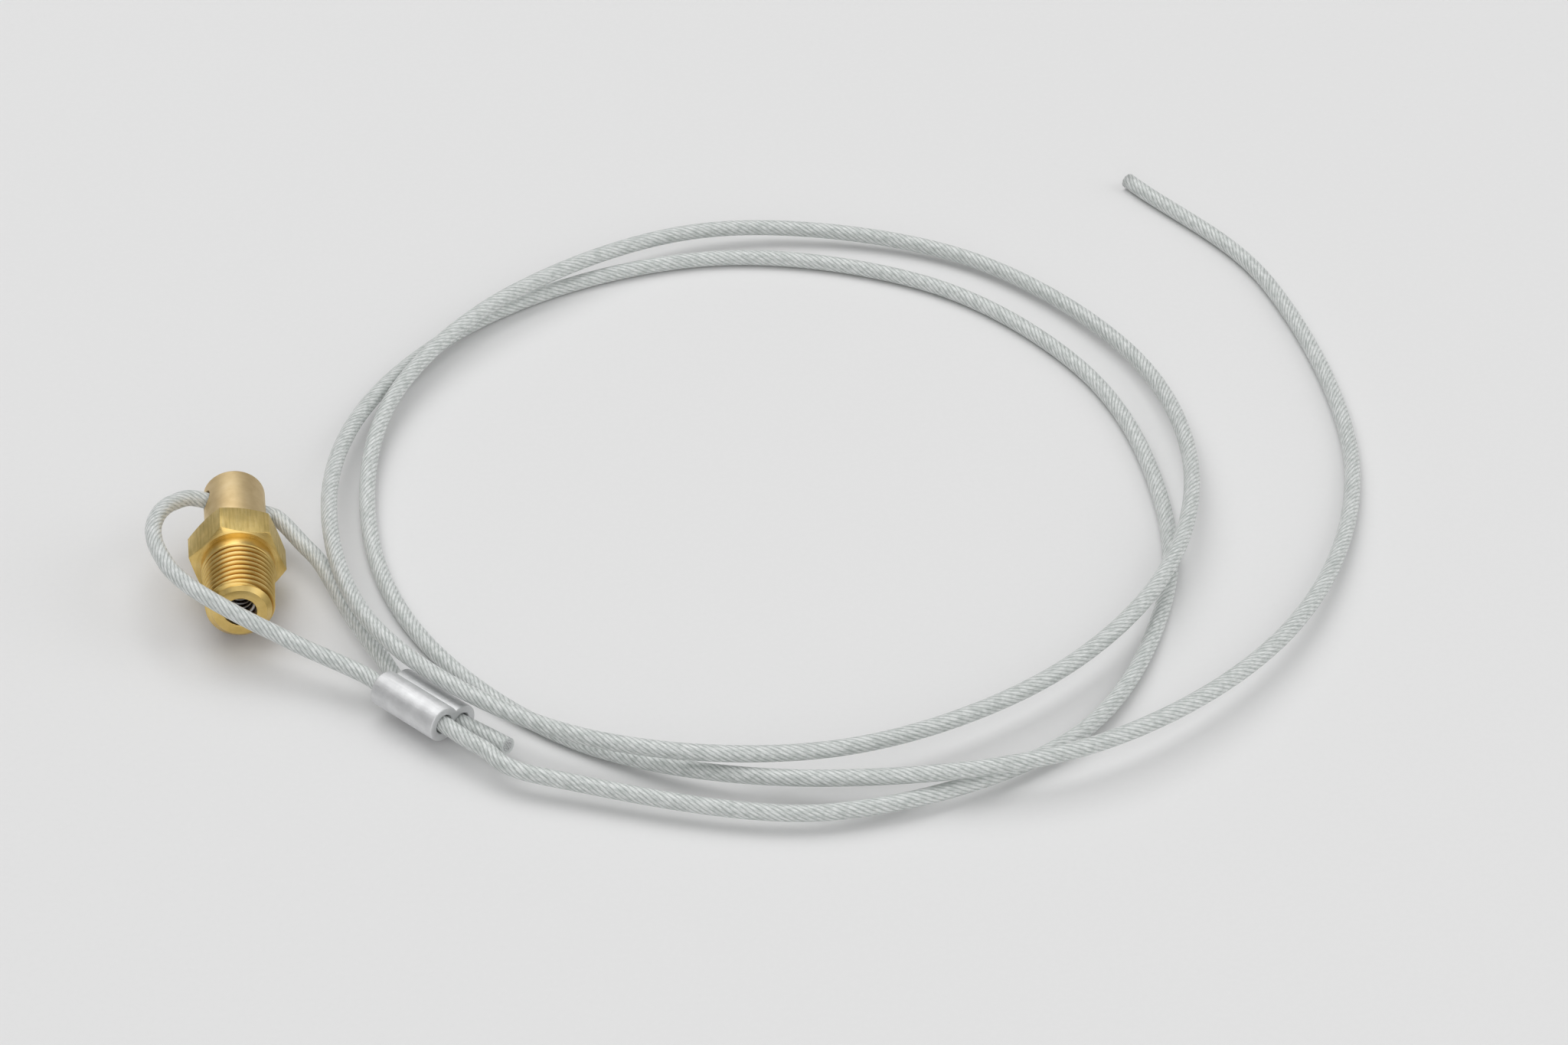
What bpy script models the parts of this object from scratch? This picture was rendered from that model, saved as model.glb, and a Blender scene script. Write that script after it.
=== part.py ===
"""Brass tilt valve for draining an air tank, with the coated wire rope that pulls it open.

The valve lies on a table with its axis along Y: the threaded mouth points to -Y and the pull post to
+Y. The origin is on the table under the middle of the valve. Metres, +Z up.
"""
import math

import bmesh
import bpy
from mathutils import Matrix, Vector

# Clearance kept between pieces that touch
FIT_GAP = 0.0003

# Taper pipe thread, quarter inch at eighteen threads to the inch
THREAD_PITCH = 0.001411
THREAD_LENGTH = 0.0134
THREAD_CREST_RADIUS = 0.0066
THREAD_DEPTH = 0.0010
THREAD_TAPER = 1 / 32
THREAD_FLAT_SHARE = 0.12
NOSE_STEP = 0.0005
NOSE_CHAMFER_SLOPE = 1.3

# Collar, which stands just proud of the last thread, and hexagon
COLLAR_STEP = 0.0001
COLLAR_LENGTH = 0.0014
HEX_ACROSS_FLATS = 0.0165
HEX_LENGTH = 0.0079
HEX_ROLL = math.radians(17)
HEX_FACE_SHARE = 0.97
HEX_CHAMFER_SLOPE = 0.58

# Bore, seat and the ring groove behind the mouth
BORE_RADIUS = 0.0031
THROAT_LENGTH = 0.0057
RING_INSET = 0.0033
RING_WIRE_RADIUS = 0.0006
RING_SEATING = 0.0004
RING_ARC = math.radians(300)

# Pull post
POST_RADIUS = 0.0060
POST_LENGTH = 0.0147
POST_STANDOFF = 0.0010
POST_EDGE = 0.0005
CROSS_HOLE_INSET = 0.0040
CROSS_HOLE_TILT = math.radians(20)
CABLE_CLEARANCE = 0.0004

# Poppet and seal, with the room that each needs round it to tilt
STEM_RADIUS = 0.0013
STEM_GRIP = 0.0060
STEM_SWING = 0.0010
HEAD_THICKNESS = 0.0014
HEAD_SWING = 0.0006
SEAL_THICKNESS = 0.0010
SEAL_SWING = 0.0004

# Return spring
SPRING_WIRE_RADIUS = 0.0003
SPRING_TURNS = 7
SPRING_POINTS_PER_TURN = 10

# Coated wire rope and its crimp sleeve
CABLE_RADIUS = 0.0016
SLEEVE_LENGTH = 0.0164
SLEEVE_WALL = 0.0016
SLEEVE_WEB = 0.0009
SLEEVE_RUN_OUT = 0.0100
SLEEVE_PLACE = (0.0328, -0.0456)
SLEEVE_HEADING = math.radians(-50)
SLEEVE_ROLL = math.radians(24)
STUB_LENGTH = 0.0125
STUB_LIFT = 0.0012
LEAST_COIL_GAP = 0.0004

# Leg of the eye from the post's upper side, round past the mouth, to the sleeve
FRONT_LEG_ROUTE = [
    (-0.0090, 0.0149, 0.0122), (-0.0112, 0.0132, 0.0128), (-0.0133, 0.0103, 0.0137),
    (-0.0149, 0.0065, 0.0143), (-0.0157, 0.0019, 0.0147), (-0.0154, -0.0027, 0.0148),
    (-0.0143, -0.0071, 0.0148), (-0.0126, -0.0116, 0.0146), (-0.0099, -0.0159, 0.0144),
    (-0.0068, -0.0195, 0.0141), (-0.0028, -0.0224, 0.0129), (0.0016, -0.0246, 0.0111),
    (0.0062, -0.0269, 0.0095), (0.0108, -0.0297, 0.0082), (0.0155, -0.0325, 0.0072),
    (0.0199, -0.0353, 0.0064), (0.0230, -0.0375, 0.0058),
]

# Leg of the eye from the post's lower side straight to the sleeve
BACK_LEG_ROUTE = [
    (0.0085, 0.0149, 0.0060), (0.0104, 0.0131, 0.0057), (0.0119, 0.0103, 0.0054),
    (0.0134, 0.0066, 0.0052), (0.0150, 0.0027, 0.0049), (0.0162, -0.0002, 0.0047),
    (0.0177, -0.0049, 0.0045), (0.0193, -0.0105, 0.0043), (0.0208, -0.0154, 0.0041),
    (0.0224, -0.0199, 0.0040), (0.0243, -0.0250, 0.0039), (0.0262, -0.0297, 0.0038),
]

# The loose coil, anticlockwise from the sleeve: how far the rope's centreline lies from the coil's
# middle, and how high above the table, at every thirty degrees
COIL_MIDDLE = (0.1040, 0.0160)
COIL_FIRST_ANGLE = math.radians(-120)
COIL_STATION_STEP = math.radians(30)
COIL_STATIONS = [
    (0.0990, 0.0043), (0.1005, 0.0034), (0.0960, 0.0024), (0.0840, 0.0016), (0.0776, 0.0016),
    (0.0794, 0.0016), (0.0845, 0.0016), (0.0878, 0.0016), (0.0870, 0.0016), (0.0855, 0.0038),
    (0.0857, 0.0076), (0.0900, 0.0093), (0.0904, 0.0086), (0.0877, 0.0077), (0.0835, 0.0068),
    (0.0830, 0.0068), (0.0849, 0.0054), (0.0902, 0.0030), (0.0963, 0.0024), (0.0953, 0.0040),
    (0.0857, 0.0060), (0.0816, 0.0046), (0.0781, 0.0020), (0.0795, 0.0016), (0.0860, 0.0016),
    (0.0931, 0.0056), (0.1046, 0.0072), (0.1105, 0.0046), (0.1178, 0.0018), (0.1306, 0.0016),
]
COIL_END_ANGLE = math.radians(770)
COIL_END_RADIUS = 0.1410

# Places along the valve's axis, counted from the mouth
HEX_FRONT = THREAD_LENGTH + COLLAR_LENGTH
BODY_LENGTH = HEX_FRONT + HEX_LENGTH
SEAT_PLACE = BODY_LENGTH - THROAT_LENGTH
POST_NEAR = BODY_LENGTH + POST_STANDOFF
POST_FAR = POST_NEAR + POST_LENGTH
CROSS_HOLE_PLACE = POST_FAR - CROSS_HOLE_INSET
SEAL_BACK = SEAT_PLACE - FIT_GAP - SEAL_THICKNESS
HEAD_FRONT = SEAL_BACK - FIT_GAP - HEAD_THICKNESS

# Radii that follow from what each piece fits; the nose is turned down to just below the thread's root
NOSE_RADIUS = THREAD_CREST_RADIUS - THREAD_DEPTH - NOSE_STEP
COLLAR_RADIUS = THREAD_CREST_RADIUS + THREAD_LENGTH * THREAD_TAPER + COLLAR_STEP
THROAT_RADIUS = STEM_RADIUS + STEM_SWING
HEAD_RADIUS = BORE_RADIUS - HEAD_SWING
SEAL_RADIUS = BORE_RADIUS - SEAL_SWING
RING_RADIUS = BORE_RADIUS + RING_SEATING - RING_WIRE_RADIUS
SPRING_RADIUS = BORE_RADIUS - FIT_GAP - SPRING_WIRE_RADIUS
CROSS_HOLE_RADIUS = CABLE_RADIUS + CABLE_CLEARANCE
THROUGH_HALF = POST_RADIUS + 2 * CABLE_CLEARANCE
SLEEVE_BORE_RADIUS = CABLE_RADIUS + FIT_GAP
SLEEVE_BARREL_RADIUS = SLEEVE_BORE_RADIUS + SLEEVE_WALL
SLEEVE_SPACING = 2 * SLEEVE_BORE_RADIUS + SLEEVE_WEB

# Where the valve lies: on a corner of its hexagon, its length centred on the origin
HEX_CORNER_RADIUS = HEX_ACROSS_FLATS / math.sqrt(3)
AXIS_HEIGHT = HEX_CORNER_RADIUS * math.cos(HEX_ROLL)
MOUTH_Y = -POST_FAR / 2

TURN_STEPS = 40
EXACT_MERGE = 1e-6
OVERRUN = 0.0010

BRASS = ("brass", (0.64, 0.44, 0.15, 1.0), 0.28, 1.0)
SATIN_BRASS = ("satin_brass", (0.60, 0.45, 0.24, 1.0), 0.42, 1.0)
STEEL = ("steel", (0.42, 0.42, 0.42, 1.0), 0.35, 1.0)
RUBBER = ("rubber", (0.03, 0.03, 0.03, 1.0), 0.80, 0.0)
ALUMINIUM = ("aluminium", (0.70, 0.71, 0.72, 1.0), 0.32, 1.0)
COATED_ROPE = ("coated_rope", (0.47, 0.50, 0.49, 1.0), 0.35, 0.0)


def clear_scene():
    for old in list(bpy.data.objects):
        bpy.data.objects.remove(old, do_unlink=True)


def new_collection(name):
    group = bpy.data.collections.new(name)
    bpy.context.scene.collection.children.link(group)
    return group


def material(finish):
    name, colour, roughness, metallic = finish
    found = bpy.data.materials.get(name)
    if found:
        return found
    made = bpy.data.materials.new(name)
    made.use_nodes = True
    shader = made.node_tree.nodes["Principled BSDF"]
    shader.inputs["Base Color"].default_value = colour
    shader.inputs["Roughness"].default_value = roughness
    shader.inputs["Metallic"].default_value = metallic
    return made


def add_part(piece, parent, finish):
    PARTS.objects.link(piece)
    piece.parent = parent
    piece.data.materials.append(material(finish))
    return piece


def add_tool(piece, parent):
    TOOLS.objects.link(piece)
    piece.parent = parent
    piece.hide_render = True
    piece.display_type = "WIRE"
    return piece


def boolean(piece, operation, tool):
    cut = piece.modifiers.new(tool.name, "BOOLEAN")
    cut.operation = operation
    cut.solver = "EXACT"
    cut.object = tool


def turned(name, profile):
    """Solid of revolution about its own Z; the profile runs from the top down its outer side."""
    points = [(radius, 0.0, height) for radius, height in profile]
    edges = [(i, i + 1) for i in range(len(points) - 1)]
    if profile[0][0] > 0.0:
        edges.append((len(points) - 1, 0))
    mesh = bpy.data.meshes.new(name)
    mesh.from_pydata(points, edges, [])
    piece = bpy.data.objects.new(name, mesh)
    screw = piece.modifiers.new("turning", "SCREW")
    screw.steps = TURN_STEPS
    screw.render_steps = TURN_STEPS
    screw.use_merge_vertices = True
    screw.merge_threshold = EXACT_MERGE
    screw.use_smooth_shade = True
    return piece


def prism(name, sides, radius, length, turn=0.0):
    """Straight prism or cylinder about its own Z, centred on its middle."""
    bm = bmesh.new()
    bmesh.ops.create_cone(
        bm, cap_ends=True, segments=sides, radius1=radius, radius2=radius, depth=length,
        matrix=Matrix.Rotation(turn, 4, "Z"),
    )
    mesh = bpy.data.meshes.new(name)
    bm.to_mesh(mesh)
    bm.free()
    return bpy.data.objects.new(name, mesh)


def tube(name, points, radius, resolution):
    """Round bar or rope along a run of points, with closed ends."""
    curve = bpy.data.curves.new(name, "CURVE")
    curve.dimensions = "3D"
    curve.bevel_depth = radius
    curve.bevel_resolution = resolution
    curve.use_fill_caps = True
    spline = curve.splines.new("POLY")
    spline.points.add(len(points) - 1)
    for knot, point in zip(spline.points, points):
        knot.co = (*point, 1.0)
    return bpy.data.objects.new(name, curve)


def smooth_route(route, per_span):
    """Points read from a smooth curve through the route's own points."""
    knots = [Vector(point) for point in route]
    first = 2 * knots[0] - knots[1]
    last = 2 * knots[-1] - knots[-2]
    knots = [first, *knots, last]
    points = []
    for a, b, c, d in zip(knots, knots[1:], knots[2:], knots[3:]):
        for step in range(per_span):
            t = step / per_span
            swing = (c - a) * t + (2 * a - 5 * b + 4 * c - d) * t**2 + (3 * b - a - 3 * c + d) * t**3
            points.append(b + swing / 2)
    points.append(knots[-2])
    return points


def segment_distance(a, b, c, d):
    """Least distance between the straight runs a-b and c-d."""
    u = b - a
    v = d - c
    w = a - c
    uu, uv, vv = u.dot(u), u.dot(v), v.dot(v)
    uw, vw = u.dot(w), v.dot(w)
    slant = uu * vv - uv * uv
    s = 0.0 if slant < 1e-18 else min(1.0, max(0.0, (uv * vw - vv * uw) / slant))
    t = min(1.0, max(0.0, (uv * s + vw) / vv))
    s = min(1.0, max(0.0, (uv * t - uw) / uu))
    return (w + u * s - v * t).length


def least_gap(points, radius, skip):
    """Narrowest gap between runs of one tube that are at least skip points apart."""
    runs = list(zip(points, points[1:]))
    nearest = min(
        segment_distance(*runs[i], *runs[j])
        for i in range(len(runs))
        for j in range(i + skip, len(runs))
    )
    return nearest - 2 * radius


def thread_mesh(name):
    """Screw thread on a full core, from below the mouth to inside the collar."""
    top = THREAD_LENGTH + THREAD_PITCH / 4
    turns = math.ceil(top / THREAD_PITCH) + 2
    root_radius = THREAD_CREST_RADIUS - THREAD_DEPTH
    half_flat = THREAD_FLAT_SHARE / 2
    stations = [
        (root_radius, half_flat), (THREAD_CREST_RADIUS, 0.5 - half_flat),
        (THREAD_CREST_RADIUS, 0.5 + half_flat), (root_radius, 1 - half_flat),
    ]
    profile = []
    for turn in range(turns):
        profile += [(radius, top - (turn + share) * THREAD_PITCH) for radius, share in stations]
    profile = [(0.0, profile[0][1]), *profile, (0.0, profile[-1][1])]
    bm = bmesh.new()
    points = [bm.verts.new((radius, 0.0, height)) for radius, height in profile]
    lines = [bm.edges.new(pair) for pair in zip(points, points[1:])]
    climb = THREAD_PITCH / TURN_STEPS
    bmesh.ops.spin(
        bm, geom=points + lines, cent=(0, 0, 0), axis=(0, 0, 1), dvec=(0, 0, climb),
        angle=math.tau, steps=TURN_STEPS, use_duplicate=False,
    )
    bmesh.ops.remove_doubles(bm, verts=bm.verts, dist=EXACT_MERGE)
    open_edges = [edge for edge in bm.edges if edge.is_boundary]
    bmesh.ops.holes_fill(bm, edges=open_edges, sides=0)
    for vert in bm.verts:
        swell = 1 + vert.co.z * THREAD_TAPER / THREAD_CREST_RADIUS
        vert.co.x *= swell
        vert.co.y *= swell
    bmesh.ops.recalc_face_normals(bm, faces=bm.faces)
    mesh = bpy.data.meshes.new(name)
    bm.to_mesh(mesh)
    bm.free()
    return bpy.data.objects.new(name, mesh)


def build_body(axis):
    """Hexagon, collar and thread, turned to shape outside and bored out inside."""
    body = add_part(prism("valve_body", 6, HEX_CORNER_RADIUS, HEX_LENGTH, -HEX_ROLL), axis, BRASS)
    body.location.z = HEX_FRONT + HEX_LENGTH / 2

    collar_top = HEX_FRONT + OVERRUN
    collar_profile = [
        (0.0, collar_top), (COLLAR_RADIUS, collar_top), (COLLAR_RADIUS, THREAD_LENGTH),
        (0.0, THREAD_LENGTH),
    ]
    collar = add_tool(turned("collar_blank", collar_profile), axis)
    thread = add_tool(thread_mesh("thread_blank"), axis)

    wide = HEX_CORNER_RADIUS + OVERRUN
    face = HEX_FACE_SHARE * HEX_ACROSS_FLATS / 2
    chamfer = (wide - face) * HEX_CHAMFER_SLOPE
    sleeve = COLLAR_RADIUS + FIT_GAP
    nose_run = (sleeve - NOSE_RADIUS) * NOSE_CHAMFER_SLOPE
    past_back = BODY_LENGTH + FIT_GAP
    past_front = HEX_FRONT - (face - sleeve) * HEX_CHAMFER_SLOPE
    outside_profile = [
        (0.0, past_back), (face - FIT_GAP / HEX_CHAMFER_SLOPE, past_back), (wide, BODY_LENGTH - chamfer),
        (wide, HEX_FRONT + chamfer), (sleeve, past_front), (sleeve, nose_run), (NOSE_RADIUS, 0.0),
        (0.0, 0.0),
    ]
    outside = add_tool(turned("turned_outside", outside_profile), axis)
    outside.rotation_euler.z = math.pi / TURN_STEPS

    groove_radius = RING_RADIUS + RING_WIRE_RADIUS + FIT_GAP
    groove_low = RING_INSET - RING_WIRE_RADIUS - FIT_GAP
    groove_high = RING_INSET + RING_WIRE_RADIUS + FIT_GAP
    bore_profile = [
        (0.0, BODY_LENGTH + OVERRUN), (THROAT_RADIUS, BODY_LENGTH + OVERRUN),
        (THROAT_RADIUS, SEAT_PLACE), (BORE_RADIUS, SEAT_PLACE), (BORE_RADIUS, groove_high),
        (groove_radius, groove_high), (groove_radius, groove_low), (BORE_RADIUS, groove_low),
        (BORE_RADIUS, -OVERRUN), (0.0, -OVERRUN),
    ]
    bore = add_tool(turned("bore_cutter", bore_profile), axis)

    boolean(body, "UNION", collar)
    boolean(body, "UNION", thread)
    boolean(body, "INTERSECT", outside)
    boolean(body, "DIFFERENCE", bore)


def build_post(pivot):
    """Turned post with a blind hole for the stem and a cross hole for the rope."""
    near = POST_NEAR - SEAT_PLACE
    far = POST_FAR - SEAT_PLACE
    grip_radius = STEM_RADIUS + FIT_GAP
    grip_end = near + STEM_GRIP + FIT_GAP
    profile = [
        (0.0, far), (POST_RADIUS - POST_EDGE, far), (POST_RADIUS, far - POST_EDGE),
        (POST_RADIUS, near + POST_EDGE), (POST_RADIUS - POST_EDGE, near), (grip_radius, near),
        (grip_radius, grip_end), (0.0, grip_end),
    ]
    post = add_part(turned("pull_post", profile), pivot, SATIN_BRASS)
    drill = add_tool(prism("cross_hole_drill", 24, CROSS_HOLE_RADIUS, 4 * POST_RADIUS), pivot)
    drill.location.z = CROSS_HOLE_PLACE - SEAT_PLACE
    drill.rotation_euler = (0.0, math.pi / 2, CROSS_HOLE_TILT)
    boolean(post, "DIFFERENCE", drill)


def build_poppet(pivot):
    """Headed stem that reaches from the bore into the post, with its seal washer."""
    stem_top = POST_NEAR + STEM_GRIP - SEAT_PLACE
    head_low = HEAD_FRONT - SEAT_PLACE
    head_high = head_low + HEAD_THICKNESS
    stem_profile = [
        (0.0, stem_top), (STEM_RADIUS, stem_top), (STEM_RADIUS, head_high), (HEAD_RADIUS, head_high),
        (HEAD_RADIUS, head_low), (0.0, head_low),
    ]
    add_part(turned("valve_stem", stem_profile), pivot, STEEL)
    seal_low = SEAL_BACK - SEAT_PLACE
    seal_high = seal_low + SEAL_THICKNESS
    seal_hole = STEM_RADIUS + FIT_GAP
    seal_profile = [
        (SEAL_RADIUS, seal_high), (SEAL_RADIUS, seal_low), (seal_hole, seal_low),
        (seal_hole, seal_high),
    ]
    add_part(turned("seat_seal", seal_profile), pivot, RUBBER)


def build_spring(axis):
    """Compression spring between the ring behind the mouth and the poppet's head."""
    start = RING_INSET + RING_WIRE_RADIUS + FIT_GAP + SPRING_WIRE_RADIUS
    finish = HEAD_FRONT - FIT_GAP - SPRING_WIRE_RADIUS
    count = SPRING_TURNS * SPRING_POINTS_PER_TURN
    points = []
    for step in range(count + 1):
        share = step / count
        angle = share * SPRING_TURNS * math.tau
        height = start + share * (finish - start)
        points.append(Vector((SPRING_RADIUS * math.cos(angle), SPRING_RADIUS * math.sin(angle), height)))
    gap = least_gap(points, SPRING_WIRE_RADIUS, SPRING_POINTS_PER_TURN // 2)
    print(f"return_spring least gap to itself {gap * 1000:.2f} mm")
    add_part(tube("return_spring", points, SPRING_WIRE_RADIUS, 1), axis, STEEL)


def build_ring(axis):
    """Round-wire snap ring in the groove behind the mouth."""
    count = 20
    points = []
    for step in range(count + 1):
        angle = RING_ARC * (step / count)
        points.append((RING_RADIUS * math.cos(angle), RING_RADIUS * math.sin(angle), RING_INSET))
    add_part(tube("retaining_ring", points, RING_WIRE_RADIUS, 2), axis, STEEL)


def sleeve_outline():
    """Outer line of the double-barrel sleeve: two round barrels that meet in a waist."""
    half = SLEEVE_SPACING / 2
    waist_angle = math.acos(half / SLEEVE_BARREL_RADIUS)
    steps = 14
    outline = []
    for side in (1, -1):
        for step in range(steps):
            angle = (math.pi - waist_angle) * (2 * step / steps - 1)
            across = half + SLEEVE_BARREL_RADIUS * math.cos(angle)
            up = SLEEVE_BARREL_RADIUS * math.sin(angle)
            outline.append((side * across, side * up))
    return outline


def sleeve_bore(side):
    """Line round the bore of one barrel."""
    steps = 16
    outline = []
    for step in range(steps):
        angle = math.tau * step / steps
        across = side * SLEEVE_SPACING / 2 + SLEEVE_BORE_RADIUS * math.cos(angle)
        outline.append((across, SLEEVE_BORE_RADIUS * math.sin(angle)))
    return outline


def build_sleeve():
    """Aluminium sleeve with one barrel round each leg of the eye, resting on the one by the coil."""
    curve = bpy.data.curves.new("crimp_sleeve", "CURVE")
    curve.dimensions = "2D"
    curve.fill_mode = "BOTH"
    curve.extrude = SLEEVE_LENGTH / 2
    for outline in (sleeve_outline(), sleeve_bore(1), sleeve_bore(-1)):
        spline = curve.splines.new("POLY")
        spline.points.add(len(outline) - 1)
        spline.use_cyclic_u = True
        for knot, (across, up) in zip(spline.points, outline):
            knot.co = (across, up, 0.0, 1.0)
    sleeve = add_part(bpy.data.objects.new("crimp_sleeve", curve), None, ALUMINIUM)
    sleeve.location = sleeve_point(0.0, 0.0)
    sleeve.rotation_euler = (math.pi / 2, SLEEVE_ROLL, SLEEVE_HEADING + math.pi / 2)


def sleeve_point(along, side):
    """Point on a barrel's centreline; side is 1 for the barrel by the coil and -1 for the other."""
    ahead = Vector((math.cos(SLEEVE_HEADING), math.sin(SLEEVE_HEADING), 0.0))
    level = Vector((-ahead.y, ahead.x, 0.0))
    across = level * math.cos(SLEEVE_ROLL) - Vector((0.0, 0.0, math.sin(SLEEVE_ROLL)))
    height = SLEEVE_BARREL_RADIUS + SLEEVE_SPACING / 2 * math.sin(SLEEVE_ROLL)
    middle = Vector((*SLEEVE_PLACE, height))
    return middle + ahead * along + across * (side * SLEEVE_SPACING / 2)


def cross_hole_point(reach):
    """Point on the cross hole's line; a negative reach is on its upper side."""
    middle = Vector((0.0, MOUTH_Y + CROSS_HOLE_PLACE, AXIS_HEIGHT))
    return middle + reach * Vector((math.cos(CROSS_HOLE_TILT), 0.0, -math.sin(CROSS_HOLE_TILT)))


def coil_route():
    """From the sleeve's middle, out of its end and round the loose coil to the cut end."""
    half = SLEEVE_LENGTH / 2
    route = [sleeve_point(FIT_GAP / 2, -1), sleeve_point(half, -1)]
    route.append(sleeve_point(half + SLEEVE_RUN_OUT, -1))
    stations = [
        (COIL_FIRST_ANGLE + COIL_STATION_STEP * count, radius, height)
        for count, (radius, height) in enumerate(COIL_STATIONS)
    ]
    stations.append((COIL_END_ANGLE, COIL_END_RADIUS, CABLE_RADIUS))
    for angle, radius, height in stations:
        x = COIL_MIDDLE[0] + radius * math.cos(angle)
        y = COIL_MIDDLE[1] + radius * math.sin(angle)
        route.append(Vector((x, y, height)))
    return route


def build_rope(pivot):
    """The rope in its stretches: through the post, the eye's two legs, the cut stub and the coil."""
    along = Vector((math.cos(CROSS_HOLE_TILT), math.sin(CROSS_HOLE_TILT), 0.0)) * THROUGH_HALF
    middle = Vector((0.0, 0.0, CROSS_HOLE_PLACE - SEAT_PLACE))
    through = [middle - along, middle + along]
    add_part(tube("cable_through_post", through, CABLE_RADIUS, 2), pivot, COATED_ROPE)

    half = SLEEVE_LENGTH / 2
    meet = THROUGH_HALF + FIT_GAP
    front_end = [sleeve_point(-half, -1), sleeve_point(-FIT_GAP / 2, -1)]
    front = smooth_route([cross_hole_point(-meet), *FRONT_LEG_ROUTE, *front_end], 2)
    add_part(tube("cable_front_leg", front, CABLE_RADIUS, 2), None, COATED_ROPE)
    back_end = [sleeve_point(-half, 1), sleeve_point(-FIT_GAP / 2, 1)]
    back = smooth_route([cross_hole_point(meet), *BACK_LEG_ROUTE, *back_end], 2)
    add_part(tube("cable_back_leg", back, CABLE_RADIUS, 2), None, COATED_ROPE)
    stub_tip = sleeve_point(half + STUB_LENGTH, 1) + Vector((0.0, 0.0, STUB_LIFT))
    stub = smooth_route([sleeve_point(FIT_GAP / 2, 1), sleeve_point(half, 1), stub_tip], 3)
    add_part(tube("cable_stub", stub, CABLE_RADIUS, 2), None, COATED_ROPE)

    coil = smooth_route(coil_route(), 2)
    for point in coil:
        point.z = max(point.z, CABLE_RADIUS)
    gap = least_gap(coil, CABLE_RADIUS, 6)
    length = sum((b - a).length for a, b in zip(coil, coil[1:]))
    print(f"cable_coil length {length:.3f} m, least gap to itself {gap * 1000:.2f} mm")
    if gap < LEAST_COIL_GAP:
        print("cable_coil lies too close to itself")
    add_part(tube("cable_coil", coil, CABLE_RADIUS, 1), None, COATED_ROPE)


def add_empty(name, parent):
    empty = bpy.data.objects.new(name, None)
    PARTS.objects.link(empty)
    empty.parent = parent
    return empty


clear_scene()
PARTS = new_collection("pull_cable_drain_valve")
TOOLS = new_collection("cutters")

# The valve's own Z runs from its mouth to its post; the post and poppet tilt about the seat
valve_axis = add_empty("valve_axis", None)
valve_axis.location = (0.0, MOUTH_Y, AXIS_HEIGHT)
valve_axis.rotation_euler = (-math.pi / 2, 0.0, 0.0)
tilt_pivot = add_empty("tilt_pivot", valve_axis)
tilt_pivot.location.z = SEAT_PLACE

build_body(valve_axis)
build_post(tilt_pivot)
build_poppet(tilt_pivot)
build_spring(valve_axis)
build_ring(valve_axis)
build_sleeve()
build_rope(tilt_pivot)
bpy.context.view_layer.update()
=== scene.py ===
import math

import bmesh
import bpy
from mathutils import Matrix, Vector


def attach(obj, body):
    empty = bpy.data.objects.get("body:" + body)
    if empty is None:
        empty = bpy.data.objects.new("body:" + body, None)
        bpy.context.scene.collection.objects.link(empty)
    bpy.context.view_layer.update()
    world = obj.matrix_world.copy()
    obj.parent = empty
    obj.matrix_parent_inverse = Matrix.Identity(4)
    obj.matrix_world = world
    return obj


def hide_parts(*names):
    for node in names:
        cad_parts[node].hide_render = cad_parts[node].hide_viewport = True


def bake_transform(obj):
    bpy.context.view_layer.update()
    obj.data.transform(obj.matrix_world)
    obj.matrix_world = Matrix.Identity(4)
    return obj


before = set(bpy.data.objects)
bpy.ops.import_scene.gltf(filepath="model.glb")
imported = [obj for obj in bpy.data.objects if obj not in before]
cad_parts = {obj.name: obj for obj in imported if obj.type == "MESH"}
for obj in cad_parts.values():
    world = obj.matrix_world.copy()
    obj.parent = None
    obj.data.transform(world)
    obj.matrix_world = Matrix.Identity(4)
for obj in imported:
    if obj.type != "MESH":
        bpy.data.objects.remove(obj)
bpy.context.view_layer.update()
scene = bpy.context.scene
scene.view_settings.view_transform = "Standard"

# The camera stands in front of the valve's mouth and looks down at the table through a long lens,
# with the valve at the left and the whole coil in the frame.
LENS_IN_PIXELS = 7100
PICTURE_WIDTH = 2048
SENSOR_WIDTH = 36.0


def in_scene(name, data):
    """New object in the scene that shows the given data."""
    made = bpy.data.objects.new(name, data)
    scene.collection.objects.link(made)
    return made


camera_data = bpy.data.cameras.new("camera")
camera_data.sensor_fit = "HORIZONTAL"
camera_data.sensor_width = SENSOR_WIDTH
camera_data.lens = SENSOR_WIDTH * LENS_IN_PIXELS / PICTURE_WIDTH
camera_data.clip_start = 0.02
camera_data.clip_end = 60.0
camera = in_scene("camera", camera_data)
camera.location = (0.0089, -0.8499, 0.6296)
look_at = Vector((0.1072, 0.0104, 0.0))
camera.rotation_euler = (look_at - camera.location).to_track_quat("-Z", "Y").to_euler()
scene.camera = camera

# The table is a wide sheet of pale matt card. A large soft lamp hangs behind and to the left of the
# valve, weaker ones stand at the right and in front, and the room round them is an even pale grey.
TABLE_HALF = 12.0
TABLE_HEIGHT = -0.0001
LAMP_AIM = Vector((0.10, 0.0, 0.0))


def start_material(name):
    """A new material, its nodes and its shader."""
    made = bpy.data.materials.new(name)
    made.use_nodes = True
    return made, made.node_tree, made.node_tree.nodes["Principled BSDF"]


def noise(tree, place, scale, detail=3.0, roughness=0.55):
    """Cloudy variation from 0 to 1 at a place."""
    node = tree.nodes.new("ShaderNodeTexNoise")
    tree.links.new(place, node.inputs["Vector"])
    node.inputs["Scale"].default_value = scale
    node.inputs["Detail"].default_value = detail
    node.inputs["Roughness"].default_value = roughness
    return node.outputs["Fac"]


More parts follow.
